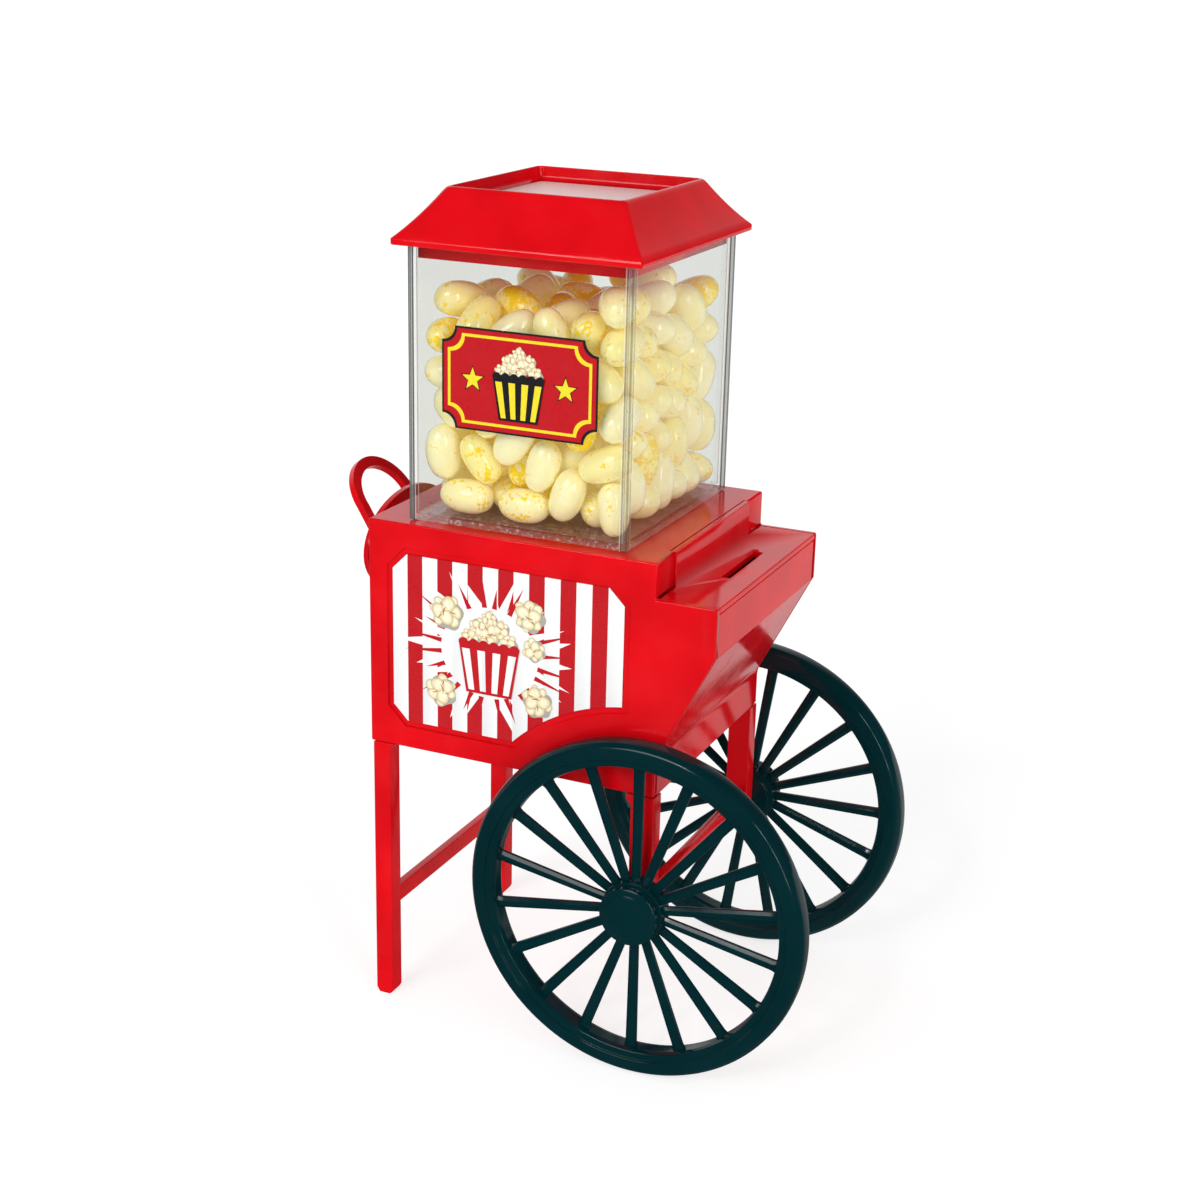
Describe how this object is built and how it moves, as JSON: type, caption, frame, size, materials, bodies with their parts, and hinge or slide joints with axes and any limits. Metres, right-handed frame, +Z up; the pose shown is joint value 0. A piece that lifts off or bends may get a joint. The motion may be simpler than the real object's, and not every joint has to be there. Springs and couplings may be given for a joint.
{
  "type": "toy popcorn cart dispenser",
  "caption": "Toy popcorn cart: clear bean hopper with a lift-off flared roof, red cart body with a coin bank, crank-turned dispensing rotor, spoked wheels.",
  "frame": {"origin": "on the ground, at the centre of the whole cart's bounding box", "axes": "+X from the crank end towards the ledge end with the coin slot, -Y towards the side with the badge, +Z up"},
  "size_m": [0.1838, 0.1168, 0.271],
  "materials": {
    "red_plastic": "glossy moulded red",
    "wheel_plastic": "glossy dark teal",
    "clear_plastic": "clear moulded, slightly grey at the edges",
    "bean_candy": "glossy cream and yellow sugar shell",
    "sticker_paper": "printed vinyl, satin",
    "white_plastic": "plain white moulding",
    "steel": "plated steel",
    "soft_black": "soft black rubber"
  },
  "bodies": {
    "cart": {"body_shell": "red_plastic", "ledge_cover": "red_plastic", "front_panel": "red_plastic", "base_plate": "red_plastic", "bank_divider": "red_plastic", "base_screw_1": "steel", "base_screw_2": "steel", "base_screw_3": "steel", "base_screw_4": "steel", "near_sticker": "sticker_paper", "far_sticker": "sticker_paper", "near_front_leg": "red_plastic", "far_front_leg": "red_plastic", "near_axle_leg": "red_plastic", "far_axle_leg": "red_plastic", "leg_stretcher": "red_plastic", "axle_stretcher": "red_plastic", "near_axle_pin": "steel", "far_axle_pin": "steel", "near_push_nut": "steel", "far_push_nut": "steel", "hopper": "clear_plastic", "bean_fill": "bean_candy", "hopper_badge": "sticker_paper", "rotor_housing": "white_plastic", "housing_cover": "white_plastic", "chute": "white_plastic"},
    "near_wheel": {"near_wheel": "wheel_plastic", "near_hub_cap": "wheel_plastic"},
    "far_wheel": {"far_wheel": "wheel_plastic", "far_hub_cap": "wheel_plastic"},
    "crank": {"crank_handle": "red_plastic", "crank_screw": "steel", "drive_shaft": "steel", "rotor": "white_plastic", "shaft_retainer": "steel"},
    "lid": {"roof_lid": "red_plastic"},
    "stopper": {"bank_stopper": "soft_black"}
  },
  "joints": [
    {"name": "near_wheel_spin", "type": "hinge", "parent": "cart", "child": "near_wheel", "pos_m": [0.03548, -0.05015, 0.05645], "axis": [0, 1, 0], "continuous": true},
    {"name": "far_wheel_spin", "type": "hinge", "parent": "cart", "child": "far_wheel", "pos_m": [0.03548, 0.05015, 0.05645], "axis": [0, 1, 0], "continuous": true},
    {"name": "crank_turn", "type": "hinge", "parent": "cart", "child": "crank", "pos_m": [-0.07432, 0, 0.1488], "axis": [1, 0, 0], "continuous": true},
    {"name": "lid_lift", "type": "slide", "parent": "cart", "child": "lid", "axis": [0, 0, 1], "range_m": [0, 0.04]},
    {"name": "stopper_pull", "type": "slide", "parent": "cart", "child": "stopper", "axis": [0, 0, -1], "range_m": [0, 0.025]}
  ]
}
